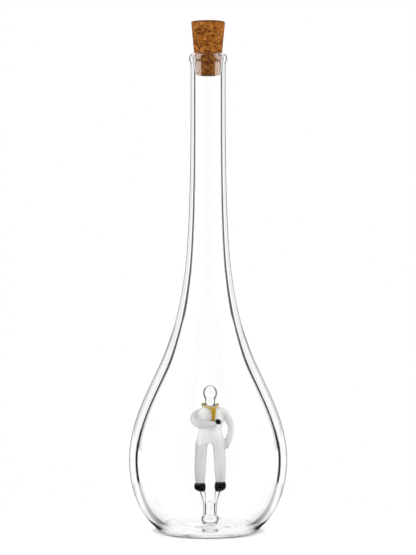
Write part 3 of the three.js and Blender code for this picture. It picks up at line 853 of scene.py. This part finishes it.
def cork_material():
    """Pressed cork: granules of several browns, dark bark specks and pores."""
    material, nodes = new_material("cork")
    place = nodes.place()
    bent = nodes.add("VectorMath", {0: place, 1: nodes.stretch(
        nodes.add("TexNoise", {"Vector": place, "Scale": 1 / GRAIN_SIZE}).outputs["Color"],
        (GRAIN_BEND,) * 3)}, operation="ADD").outputs["Vector"]
    cells = nodes.add("TexVoronoi", {"Vector": bent, "Scale": 1 / GRAIN_SIZE}).outputs
    own = nodes.parts(cells["Color"])["X"]
    colour = nodes.colours(own, GRAIN_STOPS)
    bark = nodes.ramp(nodes.noise(place, BARK_SIZE, detail=4.0), *BARK_CLOUD, 0.0, BARK_SHARE)
    colour = nodes.blend(bark, colour, BARK_COLOUR)
    pores = nodes.ramp(nodes.noise(place, PORE_SIZE, detail=1.0), *PORE_CLOUD)
    colour = nodes.blend(pores, colour, PORE_COLOUR)
    rim = nodes.ramp(nodes.parts(place)["Z"], CORK_HIGH - 2 * CORK_EDGE, CORK_HIGH, 0.0, RIM_SHARE)
    apart = nodes.distance(nodes.stretch(place, (1, 1, 0)))
    rim = nodes.product(rim, nodes.ramp(apart, *RIM_REACH))
    colour = nodes.blend(rim, colour, BARK_COLOUR)
    height = nodes.math("SUBTRACT", cells["Distance"], pores)
    shader = nodes.add("BsdfPrincipled", {
        "Base Color": colour, "Roughness": nodes.mix(own, *CORK_ROUGH), "Specular IOR Level": CORK_SHINE,
        "Normal": nodes.bump(height, GRAIN_DEPTH)})
    nodes.add("OutputMaterial", {"Surface": shader.outputs[0]})
    return material


def dress(piece, material, body):
    piece.data.materials.clear()
    piece.data.materials.append(material)
    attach(piece, body)


clear = clear_glass()
black = black_glass()
dress(bottle, clear, "bottle")
dress(knob, clear, "bottle")
dress(suit, white_glass(), "bottle")
dress(collar, amber_glass(), "bottle")
for piece in shoes + [bead]:
    dress(piece, black, "bottle")
dress(cork, cork_material(), "cork")


# Studio
def echoed(nodes, rays):
    """1 for a look that was thrown back at least once inside the glass."""
    return nodes.math("MINIMUM", rays["Glossy Depth"], 1.0)


def deeper(nodes, rays, depth):
    """1 for a look that crosses more skins of glass than this."""
    return nodes.math("GREATER_THAN", rays["Transmission Depth"], depth)


def dark_front(nodes, turn):
    """1 behind the bottle, falling to the level of the dark room around the camera."""
    return nodes.ramp(turn, *(radians(limit) for limit in FRONT_TURN), 1.0, FRONT_LEVEL)


def dim_edge(nodes, turn, limits):
    """What the outer contour of the glass mirrors: a dim strip straight behind it."""
    return nodes.ramp(turn, *(radians(limit) for limit in limits), EDGE_GLOSS, 1.0)


def add_floor():
    """A white disc that takes the shadow, with a painted shadow under the bottle's heel, and melts into
    the white behind it.
    """
    build = bmesh.new()
    bmesh.ops.create_circle(build, cap_ends=True, segments=FLOOR_SIDES, radius=FLOOR_RADIUS)
    floor = finish_mesh("floor", build)
    floor.location.z = -FLOOR_DROP
    material, nodes = new_material("floor")
    rays = nodes.add("LightPath", {}).outputs
    place = nodes.add("NewGeometry", {}).outputs["Position"]
    parts = nodes.parts(place)
    radius = nodes.distance(place)
    across = nodes.math("ABSOLUTE", parts["X"], 0.0)
    turn = nodes.math("ARCTAN2", across, parts["Y"])
    # painted shadow: a darker ring on the floor around the heel, stronger in front and behind
    outside = nodes.ramp(radius, *CONTACT_OUTSIDE)
    ring = nodes.math("SUBTRACT", nodes.ramp(radius, *CONTACT_INSIDE), outside)
    sideways = nodes.ramp(nodes.math("DIVIDE", across, radius), *CONTACT_ASIDE, CONTACT_FRONT, 1)
    painted_shadow = nodes.product(ring, sideways, PAINTED_CONTACT_SHADOW)
    bright = nodes.math("SUBTRACT", 1.0, painted_shadow)
    share_through = nodes.ramp(parts["Y"], *CONTACT_HALF, CONTACT_THROUGH, 0.0)
    bright_through = nodes.math("SUBTRACT", 1.0, nodes.product(painted_shadow, share_through))
    direct = nodes.product(bright_through, BEHIND_LEVEL)
    near = nodes.ramp(nodes.math("SUBTRACT", across, parts["Y"]), *FLOOR_ECHO_FROM)
    mirrored = nodes.mix(outside, 1.0, dark_front(nodes, turn))
    dulled = nodes.mix(nodes.product(near, outside), 1.0, FLOOR_ECHO)
    through = nodes.mix(echoed(nodes, rays), direct, nodes.product(dulled, mirrored))
    gloss = nodes.product(mirrored, dim_edge(nodes, turn, FLOOR_EDGE_TURN))
    # painted shadow: the floor that the heel mirrors is dark near the bottle
    gloss = nodes.product(gloss, nodes.ramp(radius, *FLOOR_GLOSS, FLOOR_GLOSS_LEVEL, 1.0))
    shown = nodes.mix(rays["Is Transmission Ray"], gloss, through)
    lit = nodes.product(bright, FLOOR_COLOUR)
    matt = nodes.add("BsdfDiffuse", {"Color": lit})
    seen = nodes.product(rays["Is Camera Ray"], FLOOR_GLOW)
    glow = nodes.add("Emission", {"Color": grey(1), "Strength": nodes.product(bright, seen)})
    both = nodes.add("AddShader", {0: matt.outputs[0], 1: glow.outputs[0]})
    plain = nodes.add("Emission", {"Color": grey(1), "Strength": shown})
    clear_look = nodes.math("MAXIMUM", rays["Is Transmission Ray"], rays["Is Glossy Ray"])
    clear_look = nodes.math("SUBTRACT", clear_look, rays["Diffuse Depth"])
    surface = nodes.add("MixShader", {0: clear_look, 1: both.outputs[0], 2: plain.outputs[0]})
    nodes.add("OutputMaterial", {"Surface": surface.outputs[0]})
    floor.data.materials.append(material)


def add_world():
    """White to the camera. Glass also shows the strips, dark panels and the dark room in front."""
    world = bpy.data.worlds.new("studio")
    bpy.context.scene.world = world
    nodes = Nodes(world)
    rays = nodes.add("LightPath", {}).outputs
    parts = nodes.parts(nodes.add("TexCoord", {}).outputs["Generated"])
    side = nodes.math("ABSOLUTE", parts["X"], 0.0)
    turn = nodes.math("ARCTAN2", side, parts["Y"])
    rise = nodes.math("ARCSINE", parts["Z"], 0.0)

    panel = 0.0
    for turns, rises in ((BULB_TURN, BULB_RISE), (SHOULDER_TURN, SHOULDER_RISE_SEEN),
                         (NECK_TURN, NECK_RISE), (LIP_TURN, LIP_RISE)):
        patch = nodes.product(nodes.window(turn, turns), nodes.window(rise, rises))
        panel = nodes.math("MAXIMUM", panel, patch)
    box = nodes.product(nodes.window(turn, BOX_TURN), nodes.window(rise, BOX_RISE, BOX_SOFT))
    front = dark_front(nodes, turn)
    above = nodes.ramp(rise, *(radians(limit) for limit in EDGE_RISE), 0.0, radians(EDGE_WIDER))
    edge = dim_edge(nodes, nodes.math("SUBTRACT", turn, above), EDGE_TURN)
    gloss = nodes.product(nodes.mix(nodes.window(turn, GLOSS_TURN), edge, PANEL_LEVEL), front)
    gloss = nodes.mix(box, gloss, BOX_GLOSS)
    far_box = nodes.product(box, deeper(nodes, rays, FAR_DEPTH))
    echo = nodes.mix(far_box, nodes.mix(panel, front, PANEL_LEVEL), BOX_INSIDE)
    again = nodes.math("GREATER_THAN", rays["Glossy Depth"], AGAIN_DEPTH)
    again = nodes.math("SUBTRACT", again, deeper(nodes, rays, WALL_DEPTH))
    echo = nodes.mix(nodes.product(again, nodes.window(turn, AGAIN_TURN)), echo, PANEL_LEVEL)
    through = nodes.mix(echoed(nodes, rays), BEHIND_LEVEL, echo)
    inside = nodes.product(box, deeper(nodes, rays, ENTERED_DEPTH))
    matt = nodes.mix(inside, DOME_LEVEL, BOX_INSIDE)
    level = DOME_LEVEL
    for ray, shown in (("Is Glossy Ray", gloss), ("Is Transmission Ray", through),
                       ("Diffuse Depth", matt), ("Is Camera Ray", 1.0)):
        level = nodes.mix(rays[ray], level, shown)
    sky = nodes.add("Background", {"Color": grey(1), "Strength": level})
    nodes.add("OutputWorld", {"Surface": sky.outputs[0]})


def add_strips():
    for side in (-1, 1):
        lamp = bpy.data.lights.new("strip", "AREA")
        lamp.shape = "RECTANGLE"
        lamp.size = STRIP_WIDTH
        lamp.size_y = STRIP_HEIGHT
        lamp.energy = STRIP_LEVEL * pi * STRIP_WIDTH * STRIP_HEIGHT
        strip = add_object("strip", lamp)
        turn = radians(STRIP_ANGLE)
        strip.location = (side * STRIP_DISTANCE * sin(turn), -STRIP_DISTANCE * cos(turn), STRIP_MIDDLE)
        aim = Vector((0, 0, strip.location.z)) - strip.location
        strip.rotation_euler = aim.to_track_quat("-Z", "Y").to_euler()
        strip.visible_camera = False
        strip.visible_glossy = False
        strip.visible_transmission = False


def add_camera():
    data = bpy.data.cameras.new("camera")
    camera = add_object("camera", data)
    column = (FRAME_WIDTH / 2 - AXIS_COLUMN) * PIXEL
    camera.location = (column, -CAMERA_DISTANCE, CAMERA_HEIGHT)
    aim = Vector((column, 0, AIM_HEIGHT)) - camera.location
    camera.rotation_euler = aim.to_track_quat("-Z", "Y").to_euler()
    data.sensor_fit = "VERTICAL"
    data.sensor_height = SENSOR
    data.lens = SENSOR * CAMERA_DISTANCE / (FRAME_HEIGHT * PIXEL)
    bpy.context.scene.camera = camera


add_floor()
add_world()
add_strips()
add_camera()
bpy.context.scene.view_settings.view_transform = "Standard"
bpy.context.scene.cycles.max_bounces = MAX_BOUNCES
bpy.context.scene.cycles.glossy_bounces = GLASS_BOUNCES
bpy.context.scene.cycles.transmission_bounces = GLASS_BOUNCES
